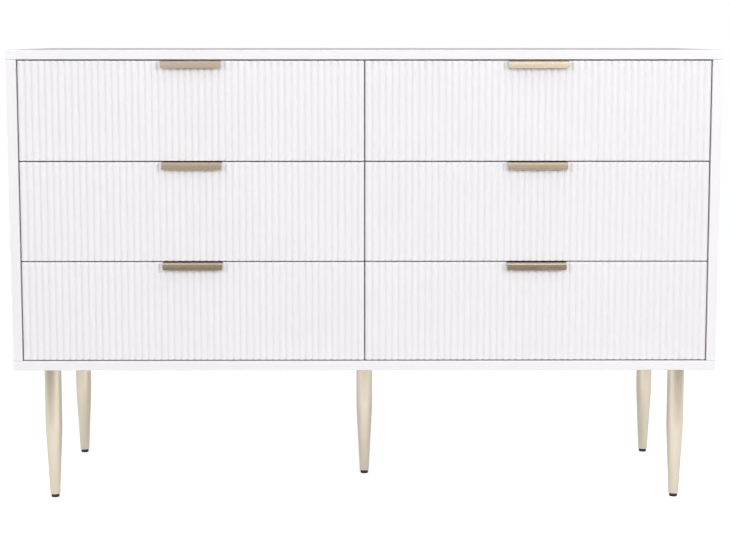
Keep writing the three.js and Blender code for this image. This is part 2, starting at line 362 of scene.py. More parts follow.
# A board with rounded edges. Its "edge" attribute is 1 on the rounding and 0 on the flats.
def boardMesh(low, high, rounding, rim, steps=3):
    bm = newBox(low, high)
    bmesh.ops.bevel(
        bm, geom=bm.edges[:], offset=rounding, segments=steps, profile=0.5, affect="EDGES"
    )
    bm.normal_update()
    flats = [face for face in bm.faces if max(abs(n) for n in face.normal) > 0.9999]
    bmesh.ops.inset_individual(bm, faces=flats, thickness=rim)
    edge = bm.verts.layers.float.new("edge")
    for vert in bm.verts:
        vert[edge] = 1
    for face in flats:
        for vert in face.verts:
            vert[edge] = 0
    return meshFrom(bm)


# A folded sheet's section from its middle line's corners, as (outer, inner) pairs of points.
def foldedSection(corners, thickness, bends, steps=5):
    points = [Vector(corner) for corner in corners]
    half = thickness / 2
    ways = [(b - a).normalized() for a, b in zip(points, points[1:])]
    pairs = [(points[0] - ways[1] * half, points[0] + ways[1] * half)]
    for corner, before, after, inner in zip(points[1:], ways, ways[1:], bends):
        reach = inner + half
        centre = corner - before * reach + after * reach
        for step in range(steps + 1):
            angle = math.pi / 2 * step / steps
            out = before * math.sin(angle) - after * math.cos(angle)
            pairs.append((centre + out * (reach + half), centre + out * (reach - half)))
    side = ways[-2] * half
    pairs.append((points[-1] + side, points[-1] - side))
    return pairs


# The stations that round off a folded sheet's free end, each a pair of points and its reach.
def roundedEnd(end, inward, radius, half, steps=5):
    way = (inward[0] - end[0]).normalized()
    stations = []
    for step in range(steps + 1):
        angle = math.pi / 2 * (1 - step / steps)
        moved = way * radius * (1 - math.sin(angle))
        inset = radius * (1 - math.cos(angle))
        stations.append(((end[0] + moved, end[1] + moved), (inset - half, half - inset)))
    return stations


# Sweeps stations of (outer, inner) points, each between its own reach. toPlace gives a point.
def foldedMesh(stations, toPlace, rim=0.0006):
    bm = bmesh.new()
    edge = bm.verts.layers.float.new("edge")
    rings = []
    for number, ((outer, inner), (low, high)) in enumerate(stations):
        alongs = [low, low + rim, high - rim, high]
        spots = [(outer, along) for along in alongs] + [(inner, along) for along in alongs[::-1]]
        ring = [bm.verts.new(toPlace(point, along)) for point, along in spots]
        for k, vert in enumerate(ring):
            atEnd = number in (0, len(stations) - 1)
            vert[edge] = 1 if atEnd or k % 4 in (0, 3) else 0
        rings.append(ring)
    count = len(rings[0])
    for here, there in zip(rings, rings[1:]):
        for k in range(count):
            after = (k + 1) % count
            bm.faces.new((here[k], here[after], there[after], there[k]))
    bm.faces.new(rings[0])
    bm.faces.new(rings[-1])
    return meshFrom(bm)


def facing(direction, place):  # turns +Z towards the direction and moves to the place
    turn = Vector(direction).to_track_quat("Z", "Y").to_matrix().to_4x4()
    return Matrix.Translation(place) @ turn


def gathered(mesh, matrices, angle):  # copies of one mesh in one, smooth up to the angle
    bm = bmesh.new()
    for matrix in matrices:
        copy = movedCopy(mesh, matrix)
        bm.from_mesh(copy)
        bpy.data.meshes.remove(copy)
    both = meshFrom(bm)
    shade(both, angle)
    return both


def offsetBetween(node, baseNode):
    return Matrix.Translation(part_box(node)[0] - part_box(baseNode)[0])


# shared effects

effectValues = {
    "noiseSpan": (0.3, 0.7),  # the part of a noise's range that is used
    "rubSpan": (0.4, 0.62),
    "leastRub": 0.35,
    "markSpan": (0.15, 0.4),
    "markScale": 3,
    "markTwist": 1.5,
    "bandScale": 0.12,  # against the fine lines' scale of 1
}


def newGroup(name, inputs, outputs):  # an input without a value is a vector
    group = bpy.data.node_groups.new(name, "ShaderNodeTree")
    for label, value in inputs.items():
        kind = "NodeSocketVector" if value is None else "NodeSocketFloat"
        socket = group.interface.new_socket(name=label, in_out="INPUT", socket_type=kind)
        if value is not None:
            socket.default_value = value
    for label in outputs:
        group.interface.new_socket(name=label, in_out="OUTPUT", socket_type="NodeSocketFloat")
    return group, addNode(group, "NodeGroupInput").outputs, addNode(group, "NodeGroupOutput")


def noiseOn(tree, place, scale, detail=2, rough=0.5, twist=0):
    inputs = {"Vector": place, "Scale": scale, "Detail": detail}
    inputs |= {"Roughness": rough, "Distortion": twist}
    return addNode(tree, "ShaderNodeTexNoise", inputs).outputs[0]


def makeSprayedSkin(values):  # the fine dimples and faint clouds of a sprayed or rolled coat
    inputs = {"Place": None, "Peel Size": 700, "Cloud Size": 5}
    group, given, result = newGroup("sprayedSkin", inputs, ["Height", "Clouds"])
    fine = noiseOn(group, given["Place"], given["Peel Size"], 1)
    broad = noiseOn(group, given["Place"], given["Cloud Size"], 3)
    shown = [mapped(group, noise, 0, 1, *values["noiseSpan"]) for noise in (fine, broad)]
    fill(group, result, {"Height": shown[0], "Clouds": shown[1]})
    return group


def makeEdgeRub(values):  # where a rounded edge has been rubbed, from the mesh's "edge" attribute
    group, given, result = newGroup("edgeRub", {"Place": None, "Patch Size": 40}, ["Rub"])
    edge = addNode(group, "ShaderNodeAttribute", attribute_name="edge").outputs["Fac"]
    patches = noiseOn(group, given["Place"], given["Patch Size"], 3, 0.6)
    worn = mapped(group, patches, values["leastRub"], 1, *values["rubSpan"])
    fill(group, result, {"Rub": joined(group, "MULTIPLY", edge, worn)})
    return group


def makeHandMarks(values):  # soft smears from handling and wiping
    group, given, result = newGroup("handMarks", {"Place": None, "Smear Size": 9}, ["Marks"])
    drift = noiseOn(group, given["Place"], values["markScale"], twist=values["markTwist"])
    smears = noiseOn(group, given["Place"], given["Smear Size"], 4, 0.65)
    both = joined(group, "MULTIPLY", drift, smears)
    fill(group, result, {"Marks": mapped(group, both, 0, 1, *values["markSpan"])})
    return group


def makeFineLines(values):  # brushing or drawing lines, long where the stretch is small
    inputs = {"Place": None, "Stretch": None}
    group, given, result = newGroup("fineLines", inputs, ["Height", "Tone"])
    factors = {0: given["Place"], 1: given["Stretch"]}
    scaled = addNode(group, "ShaderNodeVectorMath", factors, operation="MULTIPLY").outputs[0]
    hair = noiseOn(group, scaled, 1, 3, 0.7)
    band = noiseOn(group, scaled, values["bandScale"])
    shown = [mapped(group, noise, 0, 1, *values["noiseSpan"]) for noise in (hair, band)]
    fill(group, result, {"Height": shown[0], "Tone": shown[1]})
    return group


effects = {
    "skin": makeSprayedSkin(effectValues),
    "rub": makeEdgeRub(effectValues),
    "marks": makeHandMarks(effectValues),
    "lines": makeFineLines(effectValues),
}


def useEffect(tree, name, place, inputs=None):
    node = addNode(tree, "ShaderNodeGroup", node_tree=effects[name])
    fill(tree, node, {"Place": place} | (inputs or {}))
    return node.outputs


def newFinish(name, constants):
    material = bpy.data.materials.new(name)
    material.use_nodes = True
    tree = material.node_tree
    tree.nodes.clear()
    skin = addNode(tree, "ShaderNodeBsdfPrincipled", constants)
    addNode(tree, "ShaderNodeOutputMaterial", {"Surface": skin.outputs[0]})
    place = addNode(tree, "ShaderNodeTexCoord").outputs["Object"]
    return material, tree, skin, place


# Feeds a finish's own nodes into its shader. The bump is (strength, distance).
def finishSkin(tree, skin, colour, rough, height, bump):
    relief = {"Strength": bump[0], "Distance": bump[1], "Height": height}
    normal = addNode(tree, "ShaderNodeBump", relief).outputs[0]
    fill(tree, skin, {"Base Color": colour, "Roughness": rough, "Normal": normal})


def coatOn(tree, place, values):
    sizes = {"Peel Size": values["peelSize"], "Cloud Size": values["cloudSize"]}
    return useEffect(tree, "skin", place, sizes)


# finishes

lacquerValues = {
    "face": (0.85, 0.838, 0.858, 1),
    "clouded": (0.832, 0.822, 0.84, 1),
    "edge": (0.88, 0.87, 0.885, 1),
    "valleyShade": (0.81, 0.8, 0.812, 1),  # painted shade, darkening the paint between the reeds
    "roughness": (0.34, 0.44),
    "rubbedRoughness": 0.08,
    "peelSize": 750,  # dimples to the metre
    "cloudSize": 6,
    "patchSize": 40,
    "smearSize": 9,
    "bump": (0.25, 0.00006),
    "shader": {"IOR": 1.5, "Coat Weight": 0.12, "Coat Roughness": 0.25},
}
melamineValues = {
    "face": (0.78, 0.778, 0.77, 1),
    "clouded": (0.745, 0.742, 0.735, 1),
    "edge": (0.83, 0.82, 0.8, 1),
    "roughness": (0.42, 0.56),
    "rubbedRoughness": 0,
    "peelSize": 1400,
    "cloudSize": 14,
    "patchSize": 70,
    "smearSize": 14,
    "bump": (0.4, 0.00008),
    "shader": {"IOR": 1.48},
}


def makeCoated(name, values):  # a sprayed or pressed coat, with rubbed edges, and painted shade in the reed valleys where the values give one
    material, tree, skin, place = newFinish(name, values["shader"])
    coat = coatOn(tree, place, values)
    rub = useEffect(tree, "rub", place, {"Patch Size": values["patchSize"]})["Rub"]
    marks = useEffect(tree, "marks", place, {"Smear Size": values["smearSize"]})["Marks"]
    colour = mixedColour(tree, coat["Clouds"], values["face"], values["clouded"])
    colour = mixedColour(tree, rub, colour, values["edge"])
    # Painted shade: the paint is darkened towards the bottom of each reed valley, by the fronts' valley
    # mask.
    if "valleyShade" in values:
        groove = addNode(tree, "ShaderNodeAttribute", attribute_name="valleyShade").outputs["Fac"]
        colour = mixedColour(tree, groove, colour, values["valleyShade"])
    rough = mapped(tree, marks, *values["roughness"])
    rough = joined(tree, "ADD", rough, mapped(tree, rub, 0, values["rubbedRoughness"]))
    finishSkin(tree, skin, colour, rough, coat["Height"], values["bump"])
    return material


backBoardValues = {
    "fibre": (0.7, 0.695, 0.68, 1),
    "dark": (0.63, 0.61, 0.58, 1),
    "darkBy": "Clouds",
    "lineRelief": 1,
    "roughness": (0.6, 0.78),
    "stretch": (900, 900, 220),
    "peelSize": 420,
    "cloudSize": 9,
    "bump": (0.35, 0.00012),
    "shader": {"IOR": 1.46},
}
rawBoardValues = {
    "fibre": (0.42, 0.29, 0.18, 1),
    "dark": (0.28, 0.18, 0.105, 1),
    "darkBy": "Height",
    "lineRelief": 0,
    "roughness": (0.7, 0.88),
    "stretch": (500, 500, 160),
    "peelSize": 300,
    "cloudSize": 20,
    "bump": (0.5, 0.0002),
    "shader": {"IOR": 1.45},
}


def makeHardboard(name, values):
    material, tree, skin, place = newFinish(name, values["shader"])
    lines = useEffect(tree, "lines", place, {"Stretch": values["stretch"]})
    coat = coatOn(tree, place, values)
    share = joined(tree, "MULTIPLY", lines["Height"], coat[values["darkBy"]])
    colour = mixedColour(tree, share, values["fibre"], values["dark"])
    rough = mapped(tree, coat["Clouds"], *values["roughness"])
    relief = mapped(tree, lines["Height"], 0, values["lineRelief"])
    height = joined(tree, "ADD", relief, coat["Height"])
    finishSkin(tree, skin, colour, rough, height, values["bump"])
    return material


metalCommon = {"patchSize": 90, "smearSize": 22, "lineRoughness": 0.03, "lineDepth": 0.00003}
metalValues = {
    "pull": {
        "tone": (0.795, 0.675, 0.52, 1),
        "deep": (0.735, 0.61, 0.455, 1),
        "worn": (0.88, 0.8, 0.67, 1),
        "roughness": (0.2, 0.29),
        "stretch": (60, 2600, 2600),
        "brushing": 0.07,
    },
    "leg": {
        "tone": (0.91, 0.826, 0.672, 1),
        "deep": (0.885, 0.796, 0.632, 1),
        "worn": (0.92, 0.87, 0.77, 1),
        "roughness": (0.23, 0.26),
        "stretch": (2200, 2200, 30),
        "brushing": 0.012,
    },
    "zinc": {
        "tone": (0.62, 0.635, 0.65, 1),
        "deep": (0.5, 0.515, 0.535, 1),
        "worn": (0.72, 0.73, 0.74, 1),
        "roughness": (0.28, 0.46),
        "stretch": (1500, 40, 1500),
        "brushing": 0.12,
    },
    "nickel": {
        "tone": (0.7, 0.69, 0.66, 1),
        "deep": (0.58, 0.57, 0.545, 1),
        "worn": (0.8, 0.79, 0.77, 1),
        "roughness": (0.2, 0.36),
        "stretch": (1800, 1800, 1800),
        "brushing": 0.1,
    },
}


def makeMetal(name, values, common):
    material, tree, skin, place = newFinish(name, {"Metallic": 1.0})
    lines = useEffect(tree, "lines", place, {"Stretch": values["stretch"]})
    rub = useEffect(tree, "rub", place, {"Patch Size": common["patchSize"]})
    marks = useEffect(tree, "marks", place, {"Smear Size": common["smearSize"]})
    colour = mixedColour(tree, lines["Tone"], values["tone"], values["deep"])
    colour = mixedColour(tree, rub["Rub"], colour, values["worn"])
    rough = mapped(tree, marks["Marks"], *values["roughness"])
    spread = common["lineRoughness"]
    rough = joined(tree, "ADD", rough, mapped(tree, lines["Height"], -spread, spread))
    bump = values["brushing"], common["lineDepth"]
    finishSkin(tree, skin, colour, rough, lines["Height"], bump)
    return material


plasticValues = {
    "black": {"tone": (0.018, 0.018, 0.019, 1), "dusty": (0.06, 0.058, 0.055, 1)},
    "white": {"tone": (0.8, 0.8, 0.79, 1), "dusty": (0.74, 0.735, 0.72, 1)},
    "roughness": (0.42, 0.6),
    "peelSize": 2200,
    "cloudSize": 60,
    "smearSize": 40,
    "bump": (0.3, 0.00005),
    "shader": {"IOR": 1.5},
}


def makePlastic(shadeName, values):
    material, tree, skin, place = newFinish(f"{shadeName}Plastic", values["shader"])
    coat = coatOn(tree, place, values)
    marks = useEffect(tree, "marks", place, {"Smear Size": values["smearSize"]})
    share = joined(tree, "MULTIPLY", marks["Marks"], coat["Clouds"])
    tones = values[shadeName]
    colour = mixedColour(tree, share, tones["tone"], tones["dusty"])
    rough = mapped(tree, marks["Marks"], *values["roughness"])
    finishSkin(tree, skin, colour, rough, coat["Height"], values["bump"])
    return material


lacquer = makeCoated("whiteLacquer", lacquerValues)
melamine = makeCoated("pearlMelamine", melamineValues)
backBoard = makeHardboard("paintedHardboard", backBoardValues)
rawBoard = makeHardboard("rawHardboard", rawBoardValues)
pullMetal = makeMetal("champagnePull", metalValues["pull"], metalCommon)
legMetal = makeMetal("champagneLeg", metalValues["leg"], metalCommon)
zincSteel = makeMetal("zincSteel", metalValues["zinc"], metalCommon)
nickelSteel = makeMetal("nickelSteel", metalValues["nickel"], metalCommon)
blackPlastic = makePlastic("black", plasticValues)
whitePlastic = makePlastic("white", plasticValues)
print("finishes made:", len(bpy.data.materials))


# carcass

carcassValues = {
    "rounding": 0.0009,
    "dividerRounding": 0.00045,
    "rim": 0.003,
    "grooveGap": 0.0003,  # around the back panels in their grooves
    "studRadius": 0.0044,
    "studGap": 0.0003,
    "panelRounding": 0.0003,
    "panelRim": 0.0005,
    "holeSegments": 32,
}


def backPanelCutter(values):
    gap = Vector((1, 1, 1)) * values["grooveGap"]
    lows, highs = zip(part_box("back_panel_left"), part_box("back_panel_right"))
    return boxMesh(lows[0] - gap, highs[1] + gap)


def studHoleCutters(values):
    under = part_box("bottom_panel")[0].z
    cutters = []
    for name in legNames:
        low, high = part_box(f"leg_{name}")
        top = high.z + values["studGap"]
        start = under - (top - under)
        radius = values["studRadius"]
        profile = [(0, start), (radius, start), (radius, top), (0, top)]
        hole = turnedMesh(profile, values["holeSegments"])
        middle = (low + high) / 2
        hole.transform(Matrix.Translation((middle.x, middle.y, 0)))
        cutters.append(hole)
    return cutters


def makeCarcass(values):
    for name in ("top_panel", "bottom_panel", "left_side_panel", "right_side_panel"):
        cutters = [backPanelCutter(values)]
        if name == "bottom_panel":
            cutters += studHoleCutters(values)
        mesh = carved(boardMesh(*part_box(name), values["rounding"], values["rim"]), cutters)
        words = name.split("_")
        pieceName = words[0] + "".join(word.capitalize() for word in words[1:-1]) + "Board"
        addBoard(pieceName, mesh, [lacquer], "carcass", "white_lacquer", name)
    mesh = boardMesh(*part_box("centre_divider"), values["dividerRounding"], values["rim"])
    addBoard("centreDivider", mesh, [melamine], "carcass", "inner_board", "centre_divider")
    for side in columnNames:
        name = f"back_panel_{side}"
        mesh = boardMesh(*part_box(name), values["panelRounding"], values["panelRim"], 2)
        pieceName = f"backPanel{side.capitalize()}"
        addBoard(pieceName, mesh, [backBoard], "carcass", "back_board", name)


# The H-shaped strip that takes the two back panels' meeting edges.
joinerValues = {"skin": 0.0012, "web": 0.0016, "lipRound": 0.0005}


def makeJoiner(values):
    low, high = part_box("back_joiner")
    half = (high.x - low.x) / 2
    deep = (high.y - low.y) / 2
    web = values["web"] / 2
    slot = deep - values["skin"]
    outline = [(half, -deep), (half, -slot), (web, -slot), (web, slot), (half, slot), (half, deep)]
    outline += [(-x, -y) for x, y in outline]
    middle = (low + high) / 2
    ring = [(middle.x + x, middle.y + y, low.z) for x, y in outline]
    strip = extruded(ring, (0, 0, high.z - low.z))
    place = "carcass", "joiner_plastic", "back_joiner"
    addPiece("backJoiner", strip, [whitePlastic], *place, rounding=values["lipRound"])


makeCarcass(carcassValues)
makeJoiner(joinerValues)
print("carcass made")


# screws, cams and caps

fixingValues = {
    "headRadius": 0.0032,
    "headHeight": 0.0015,
    "headDome": [(1, 0.35), (0.93, 0.65), (0.75, 0.88), (0.5, 1)],  # shares of radius and height
    "headSegments": 24,
    "recess": 0.0009,
    "recessWidth": 0.0008,
    "recessLength": 0.0034,
    "camRadius": 0.0062,
    "camHeight": 0.0004,
    "camSunk": 0.001,
    "camRounding": 0.0002,
    "camSegments": 28,
    "capRadius": 0.0082,
    "capHeight": 0.0009,
    "capDome": [(1, 0.4), (0.96, 0.8), (0.88, 1)],
    "capSegments": 32,
    "sharpAngle": 30,
    "capSharpAngle": 50,
}


def crossCutters(values, top):
    length, width, depth = values["recessLength"] / 2, values["recessWidth"] / 2, values["recess"]
    cutters = []
    for x, y in ((length, width), (width, length)):
        cutters.append(boxMesh(Vector((-x, -y, top - depth)), Vector((x, y, top + depth))))
    return cutters


def domedMesh(values, kind):
    radius, height = values[f"{kind}Radius"], values[f"{kind}Height"]
    dome = [(radius * across, height * up) for across, up in values[f"{kind}Dome"]]
    return turnedMesh([(0, 0), (radius, 0), *dome, (0, height)], values[f"{kind}Segments"])


def makeHead(values):
    head = carved(domedMesh(values, "head"), crossCutters(values, values["headHeight"]))
    shade(head, values["sharpAngle"])
    return head


def makeCam(values):
    radius, height = values["camRadius"], values["camHeight"]
    sunk, soft = -values["camSunk"], values["camRounding"]
    profile = [(0, sunk), (radius, sunk), (radius, height - soft)]
    profile += [(radius - soft, height), (0, height)]
    cam = carved(turnedMesh(profile, values["camSegments"]), crossCutters(values, height))
    shade(cam, values["sharpAngle"])
    return cam


def makeCap(values):
    cap = domedMesh(values, "cap")
    shade(cap, values["capSharpAngle"])
    return cap


sharpAngle = fixingValues["sharpAngle"]
headMesh = makeHead(fixingValues)
camMesh = makeCam(fixingValues)
capMesh = makeCap(fixingValues)

fixingPlaces = {
    "capFromFront": 0.06,  # caps on the carcass boards, from each board's front edge
    "capFromRear": 0.05,
    "capFromEnd": 0.034,
    "underRows": 3,  # screws up into each side board
    "underFromEdge": 0.008,
    "underInset": 0.06,
}


def makeCarcassFixings(values):
    places = []
    for side, way in (("left_side", 1), ("centre", 1), ("centre", -1), ("right_side", -1)):
        low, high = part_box("centre_divider" if side == "centre" else f"{side}_panel")
        across = high.x if way > 0 else low.x
        for y in (low.y + values["capFromFront"], high.y - values["capFromRear"]):
            for z in (low.z + values["capFromEnd"], high.z - values["capFromEnd"]):
                places.append(facing((way, 0, 0), (across, y, z)))
    mesh = gathered(capMesh, places, fixingValues["capSharpAngle"])
    addPiece("camCaps", mesh, [whitePlastic], "carcass", "joiner_plastic")
    low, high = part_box("bottom_panel")
    places = []
    for x in (low.x + values["underFromEdge"], 0, high.x - values["underFromEdge"]):
        for row in range(values["underRows"]):
            span = high.y - low.y - 2 * values["underInset"]
            y = low.y + values["underInset"] + span * row / (values["underRows"] - 1)
            if x or row != 1:
                places.append(facing((0, 0, -1), (x, y, low.z)))
    mesh = gathered(headMesh, places, sharpAngle)
    addPiece("boardScrews", mesh, [nickelSteel], "carcass", "runner_steel")


makeCarcassFixings(fixingPlaces)


# legs and glides

legValues = {
    "topRadius": 0.0145,
    "footRadius": 0.0085,
    "straight": 0.098,
    "ease": 0.024,
    "easeSteps": 6,
    "edgeRounding": 0.0005,
    "footRing": 0.0025,
    "bore": 0.0039,
    "segments": 64,
    "topGap": 0.0002,
    "studRadius": 0.004,
    "studSunk": 0.001,  # into the leg
    "studSegments": 32,
    "threadDepth": 0.0005,
    "threadPitch": 0.00125,
}


def legMesh(values, top, foot):
    radius, footRadius, bore = values["topRadius"], values["footRadius"], values["bore"]
    straight, ease = values["straight"], values["ease"]
    soft, steps = values["edgeRounding"], values["easeSteps"]
    corner, support, ring = soft * 0.3, soft * 3, foot + values["footRing"]
    slope = (radius - footRadius) / (top - foot - straight - ease / 2)
    worn = (top - corner, top - soft, foot + soft, foot + corner)
    profile = [(0, top), (radius - soft, top), (radius - corner, worn[0]), (radius, worn[1])]
    profile.append((radius, top - support))
    for step in range(steps + 1):
        share = step / steps
        drop = slope * ease * share * share / 2
        profile.append((radius - drop, top - straight - ease * share))
    profile.append((footRadius + slope * support, foot + support))
    profile += [(footRadius + slope * soft, worn[2]), (footRadius - corner, worn[3])]
    profile += [(footRadius - soft, foot), (bore, foot), (bore, ring), (0, ring)]
    return turnedMesh(profile, values["segments"], worn)


def studMesh(values, low, high):
    radius = values["studRadius"]
    root = radius - values["threadDepth"]
    rings = round((high - low) / values["threadPitch"])
    half = (high - low) / rings / 2
    profile = [(0, low), (radius, low)]
    for ring in range(rings):
        start = low + (high - low) * ring / rings
        profile += [(root, start + half * 0.5), (radius, start + half * 1.5)]
    return turnedMesh([*profile, (root, high), (0, high)], values["studSegments"])


glideValues = {
    "radius": 0.007,
    "rounding": 0.001,
    "steps": 4,
    "rim": 0.0003,
    "gap": 0.0003,  # under the leg's end
    "stemRadius": 0.0035,
    "segments": 48,
}


def glideMesh(values, low, high, seatHeight):
    radius, soft, rim = values["radius"], values["rounding"], values["rim"]
    profile = [(0, low)]
    for step in range(values["steps"] + 1):
        angle = math.pi / 2 * step / values["steps"]
        across = radius - soft + soft * math.sin(angle)
        profile.append((across, low + soft * (1 - math.cos(angle))))
    profile += [(radius, seatHeight - rim), (radius - rim, seatHeight)]
    profile += [(values["stemRadius"], seatHeight), (values["stemRadius"], high), (0, high)]
    return turnedMesh(profile, values["segments"])


def makeLegs(values, glide):
    legLow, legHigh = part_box("leg_centre")
    glideLow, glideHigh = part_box("glide_centre")
    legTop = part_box("bottom_panel")[0].z - values["topGap"]
    meshes = [
        legMesh(values, legTop, legLow.z),
        studMesh(values, legTop - values["studSunk"], legHigh.z),
        glideMesh(glide, glideLow.z, glideHigh.z, legLow.z - glide["gap"]),
    ]
    for mesh in meshes:
        shade(mesh)
    for name in legNames:
        leg, foot = f"leg_{name}", f"glide_{name}"
        low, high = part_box(leg)
        move = Matrix.Translation(((low.x + high.x) / 2, (low.y + high.y) / 2, 0))
        tube, stud, sole = [movedCopy(mesh, move) for mesh in meshes]
        addPiece(f"{leg}_tube", tube, [legMetal], "carcass", "leg_metal", leg)
        addPiece(f"{leg}_stud", stud, [zincSteel], "carcass", "runner_steel")
        addPiece(f"{foot}_foot", sole, [blackPlastic], "carcass", "glide_plastic", foot)


makeLegs(legValues, glideValues)
print("legs, glides and carcass fixings made")


# drawer fronts

frontValues = {
    "reeds": 52,
    "reedDepth": 0.003,
    "hollowRadius": 0.0004,  # at the bottom of each valley
    "arcSteps": 7,
    "endRounding": 0.0008,
    "endSteps": 3,
    "support": 0.003,
    "notchDepth": 0.0018,
    "notchGap": 0.0003,
    "notchSpare": 0.01,
    "sharpAngle": 38,
}


# One reed from above, as (across, depth) from its middle: half a hollow, the round crest, half a hollow.
def reedOutline(values, pitch):
    depth, hollow = values["reedDepth"], values["hollowRadius"]
    reach = (pitch * pitch / 4 + depth * depth) / (2 * depth)
    lean = math.asin(pitch / 2 / reach)
    radius = reach - hollow
    turned = lean / 2
    side = pitch / 2 - hollow * math.sin(turned)
    shallow = depth - hollow * (1 - math.cos(turned))
    points = [(-pitch / 2, depth), (-side, shallow)]
    for step in range(values["arcSteps"] + 1):
        angle = lean * (2 * step / values["arcSteps"] - 1)
        points.append((radius * math.sin(angle), radius * (1 - math.cos(angle))))
    return points + [(side, shallow)]


def frontOutline(width, thickness, values):
    pitch = width / values["reeds"]
    outline = []
    for reed in range(values["reeds"]):
        middle = (reed + 0.5) * pitch - width / 2
        outline += [(middle + across, depth) for across, depth in reedOutline(values, pitch)]
    soft, support = values["endRounding"], values["support"]
    half = width / 2
    right = [(half, values["reedDepth"]), (half, values["reedDepth"] + support)]
    right.append((half, thickness - soft - support))
    steps = values["endSteps"]
    for step in range(steps + 1):
        angle = math.pi / 2 * step / steps
        across = half - soft * (1 - math.cos(angle))
        right.append((across, thickness - soft * (1 - math.sin(angle))))
    right.append((half - soft - support, thickness))
    left = [(-across, depth) for across, depth in reversed(right[1:])]
    return outline + right + left


# Each level of a front, as (height, inset of the outline, "edge" value).
def frontLevels(height, values):
    soft, steps = values["endRounding"], values["endSteps"]
    lower = []
    for step in range(steps + 1):
        angle = math.pi / 2 * step / steps
        lower.append((soft * (1 - math.cos(angle)), soft * (1 - math.sin(angle)), 1))
    lower.append((soft + values["support"], 0, 0))
    return lower + [(height - rise, inset, edge) for rise, inset, edge in reversed(lower)]


def frontMesh(low, high, values):
    width, thickness = high.x - low.x, high.y - low.y
    outline = frontOutline(width, thickness, values)
    middle = (low.x + high.x) / 2
    reedDepth = values["reedDepth"]
    blend = width / values["reeds"] / 2
    bm = bmesh.new()
    edgeLayer = bm.verts.layers.float.new("edge")
    valleyShadeLayer = bm.verts.layers.float.new("valleyShade")
    rings = []
    for rise, inset, edge in frontLevels(high.z - low.z, values):
        ring = []
        for across, depth in outline:
            toSide = max(0, 1 - (width / 2 - abs(across)) / blend)
            x = across - math.copysign(inset * toSide, across)
            toBack = min(1, max(0, (depth - reedDepth) / (thickness - reedDepth)))
            y = depth + inset * (1 - 2 * toBack)
            vert = bm.verts.new((middle + x, low.y + y, low.z + rise))
            vert[edgeLayer] = edge
            # The mask for the painted shade in the valleys: 0 from the crest to half depth, rising to 1
            # at the bottom of each valley.
            if depth <= reedDepth:
                vert[valleyShadeLayer] = max(0, depth / reedDepth * 2 - 1)
            ring.append(vert)
        rings.append(ring)
    count = len(outline)
    for lower, upper in zip(rings, rings[1:]):
        for k in range(count):
            after = (k + 1) % count
            bm.faces.new((lower[k], lower[after], upper[after], upper[k]))
    bm.faces.new(rings[0])
    bm.faces.new(rings[-1])
    return meshFrom(bm)


def flattenCaps(mesh, corners=8):  # so that a wide flat end shades flat
    for face in mesh.polygons:
        if len(face.vertices) > corners:
            for loop in face.loop_indices:
                mesh.edges[mesh.loops[loop].edge_index].use_edge_sharp = True


def notchCutter(low, high, values):
    pullLow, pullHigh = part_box("pull_bottom_left")
    gap, spare = values["notchGap"], values["notchSpare"]
    start = Vector((pullLow.x - gap, low.y - spare, high.z - values["notchDepth"]))
    return boxMesh(start, Vector((pullHigh.x + gap, high.y + spare, high.z + spare)))


def makeFronts(values):
    baseName = "drawer_front_bottom_left"
    low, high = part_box(baseName)
    base = carved(frontMesh(low, high, values), [notchCutter(low, high, values)])
    shade(base, values["sharpAngle"])
    flattenCaps(base)
    for drawer in drawerNames:
        name = f"drawer_front_{drawer}"
        mesh = movedCopy(base, offsetBetween(name, baseName))
        body = f"drawer_{drawer}"
        addPiece(f"reededFront_{drawer}", mesh, [lacquer], body, "white_lacquer", name)


makeFronts(frontValues)
print("reeded fronts made")


# pulls

pullValues = {
    "sheet": 0.0015,
    "lipHeight": 0.0125,
    "lipBend": 0.0014,  # inner radius
    "backBend": 0.0005,
    "lipCorner": 0.003,
    "plateCorner": 0.002,
    "edgeRounding": 0.00025,
    "screwSpacing": 0.064,
    "screwDrop": 0.013,
    "sharpAngle": 40,
}


def pullMesh(low, high, values):
    sheet = values["sheet"]
    face, rear = low.y + sheet / 2, high.y - sheet / 2
    upper = high.z - sheet / 2
    corners = [(face, high.z - values["lipHeight"]), (face, upper), (rear, upper), (rear, low.z)]
    pairs = foldedSection(corners, sheet, [values["lipBend"], values["backBend"]])
    half = (high.x - low.x) / 2
    middle = (low.x + high.x) / 2
    stations = roundedEnd(pairs[0], pairs[1], values["lipCorner"], half)
    stations += [(pair, (-half, half)) for pair in pairs[1:-1]]
    plate = roundedEnd(pairs[-1], pairs[-2], values["plateCorner"], half)
    stations += reversed(plate)
    return foldedMesh(stations, lambda point, along: (middle + along, point[0], point[1]))


def makePulls(values):
    baseName = "pull_bottom_left"
    low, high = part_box(baseName)
    base = pullMesh(low, high, values)
    shade(base, values["sharpAngle"])
    middle = (low.x + high.x) / 2
    places = []
    for side in (-1, 1):
        x = middle + side * values["screwSpacing"] / 2
        places.append(facing((0, 1, 0), (x, high.y, high.z - values["screwDrop"])))
    heads = gathered(headMesh, places, sharpAngle)
    soft = {"rounding": values["edgeRounding"], "flat": True}
    for drawer in drawerNames:
        name, body = f"pull_{drawer}", f"drawer_{drawer}"
        pull, screws = [movedCopy(mesh, offsetBetween(name, baseName)) for mesh in (base, heads)]
        addPiece(f"edgePull_{drawer}", pull, [pullMetal], body, "pull_metal", name, **soft)
        addPiece(f"pullScrews_{drawer}", screws, [nickelSteel], body, "runner_steel")


makePulls(pullValues)
print("pulls made")


# drawer boxes

boxValues = {
    "wall": 0.012,
    "floor": 0.004,
    "floorLift": 0.008,
    "groove": 0.006,
    "gap": 0.00015,
    "rounding": 0.0008,
    "rim": 0.002,
    "floorRounding": 0.0003,
    "floorRim": 0.0005,
    "camFromFront": 0.034,
    "fixingFromEnd": 0.02,
}


